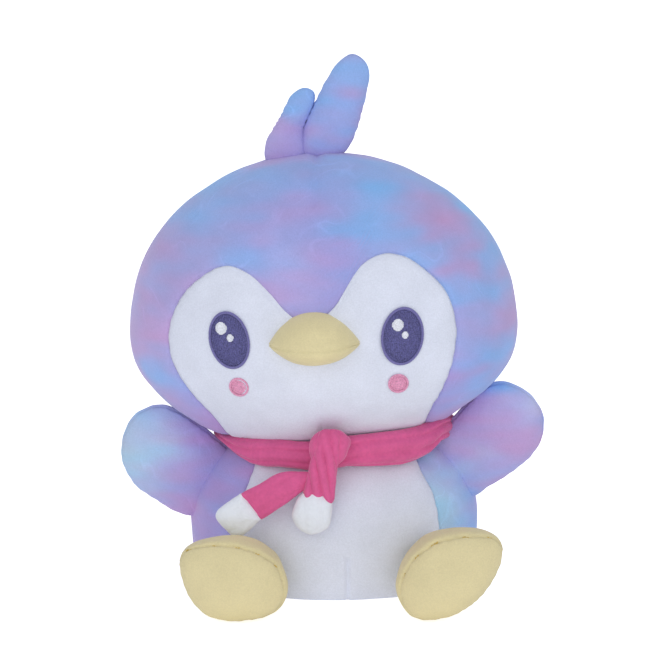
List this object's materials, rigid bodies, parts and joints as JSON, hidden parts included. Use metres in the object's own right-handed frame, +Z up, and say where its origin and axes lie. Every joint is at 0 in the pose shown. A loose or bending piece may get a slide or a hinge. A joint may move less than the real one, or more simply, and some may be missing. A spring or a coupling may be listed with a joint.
{
  "type": "plush penguin",
  "caption": "Sitting stuffed penguin with a turning and nodding head, bending wings and feet, head tufts and a knotted scarf with free tails.",
  "frame": {"origin": "middle of the flat base panel, on the surface that the toy sits on", "axes": "+Z up through the neck, -Y out of the face, +X to the viewer's right when the toy faces the viewer"},
  "size_m": [0.1993, 0.1718, 0.2492],
  "materials": {
    "dyed_pile_violet": "matte",
    "dyed_pile_blue": "matte",
    "white_pile": "matte",
    "cream_pile": "matte",
    "scarf_fleece": "matte",
    "white_fleece": "matte",
    "eye_thread": "satin",
    "eye_outline_thread": "satin",
    "white_thread": "satin",
    "pink_thread": "satin",
    "filling": "matte"
  },
  "bodies": {
    "torso": {"belly_panel": "white_pile", "back_panel_left": "dyed_pile_violet", "back_panel_right": "dyed_pile_blue", "base_panel": "dyed_pile_violet", "body_filling": "filling", "scarf_band": "scarf_fleece", "scarf_knot": "scarf_fleece"},
    "neck": {"neck_filling": "filling"},
    "head": {"face_panel": "white_pile", "crown_panel_left": "dyed_pile_violet", "crown_panel_right": "dyed_pile_blue", "head_filling": "filling", "eye_left_outline": "eye_outline_thread", "eye_left_fill": "eye_thread", "eye_left_light_large": "white_thread", "eye_left_light_small": "white_thread", "cheek_left": "pink_thread", "eye_right_outline": "eye_outline_thread", "eye_right_fill": "eye_thread", "eye_right_light_large": "white_thread", "eye_right_light_small": "white_thread", "cheek_right": "pink_thread", "beak_upper": "cream_pile", "beak_lower": "cream_pile", "beak_filling": "filling"},
    "tuft_large": {"tuft_large_front_panel": "dyed_pile_blue", "tuft_large_back_panel": "dyed_pile_blue", "tuft_large_filling": "filling"},
    "tuft_small": {"tuft_small_front_panel": "dyed_pile_blue", "tuft_small_back_panel": "dyed_pile_blue", "tuft_small_filling": "filling"},
    "wing_left": {"wing_left_front_panel": "dyed_pile_blue", "wing_left_back_panel": "dyed_pile_violet", "wing_left_filling": "filling"},
    "wing_right": {"wing_right_front_panel": "dyed_pile_violet", "wing_right_back_panel": "dyed_pile_blue", "wing_right_filling": "filling"},
    "foot_left": {"foot_left_sole": "cream_pile", "foot_left_upper": "cream_pile", "foot_left_filling": "filling"},
    "foot_right": {"foot_right_sole": "cream_pile", "foot_right_upper": "cream_pile", "foot_right_filling": "filling"},
    "scarf_tail_left": {"scarf_tail_left": "scarf_fleece", "scarf_tip_left": "white_fleece"},
    "scarf_tail_middle": {"scarf_tail_middle": "scarf_fleece", "scarf_tip_middle": "white_fleece"}
  },
  "joints": [
    {"name": "head_turn", "type": "hinge", "parent": "torso", "child": "neck", "pos_m": [-0.0055, 0, 0.07], "axis": [0, 0, 1], "range_deg": [-18, 18], "stiffness_Nm_per_rad": 0.3},
    {"name": "head_nod", "type": "hinge", "parent": "neck", "child": "head", "pos_m": [-0.0055, 0, 0.07], "axis": [1, 0, 0], "range_deg": [-5, 5], "stiffness_Nm_per_rad": 2, "deforming": ["neck_filling"]},
    {"name": "tuft_large_bend", "type": "hinge", "parent": "head", "child": "tuft_large", "pos_m": [0.0025, 0, 0.2048], "axis": [1, 0, 0], "range_deg": [-20, 20], "stiffness_Nm_per_rad": 0.01},
    {"name": "tuft_small_bend", "type": "hinge", "parent": "head", "child": "tuft_small", "pos_m": [-0.0215, 0, 0.203], "axis": [1, 0, 0], "range_deg": [-20, 20], "stiffness_Nm_per_rad": 0.006},
    {"name": "wing_left_swing", "type": "hinge", "parent": "torso", "child": "wing_left", "pos_m": [-0.068, -0.01, 0.047], "axis": [-0.4512, 0, -0.8924], "range_deg": [-20, 30], "stiffness_Nm_per_rad": 0.03},
    {"name": "wing_right_swing", "type": "hinge", "parent": "torso", "child": "wing_right", "pos_m": [0.066, -0.01, 0.054], "axis": [-0.3987, 0, 0.9171], "range_deg": [-20, 30], "stiffness_Nm_per_rad": 0.03},
    {"name": "foot_left_tilt", "type": "hinge", "parent": "torso", "child": "foot_left", "pos_m": [-0.035, -0.048, 0.014], "axis": [-1, 0, 0], "range_deg": [-12, 8], "stiffness_Nm_per_rad": 0.04},
    {"name": "foot_right_tilt", "type": "hinge", "parent": "torso", "child": "foot_right", "pos_m": [0.037, -0.048, 0.014], "axis": [-1, 0, 0], "range_deg": [-12, 8], "stiffness_Nm_per_rad": 0.04},
    {"name": "scarf_tail_left_lift", "type": "hinge", "parent": "torso", "child": "scarf_tail_left", "pos_m": [-0.0155, -0.0618, 0.061], "axis": [-0.4907, 0, 0.8713], "range_deg": [0, 50]},
    {"name": "scarf_tail_middle_lift", "type": "hinge", "parent": "torso", "child": "scarf_tail_middle", "pos_m": [-0.006, -0.0618, 0.063], "axis": [-1, 0, 0], "range_deg": [0, 55]}
  ]
}
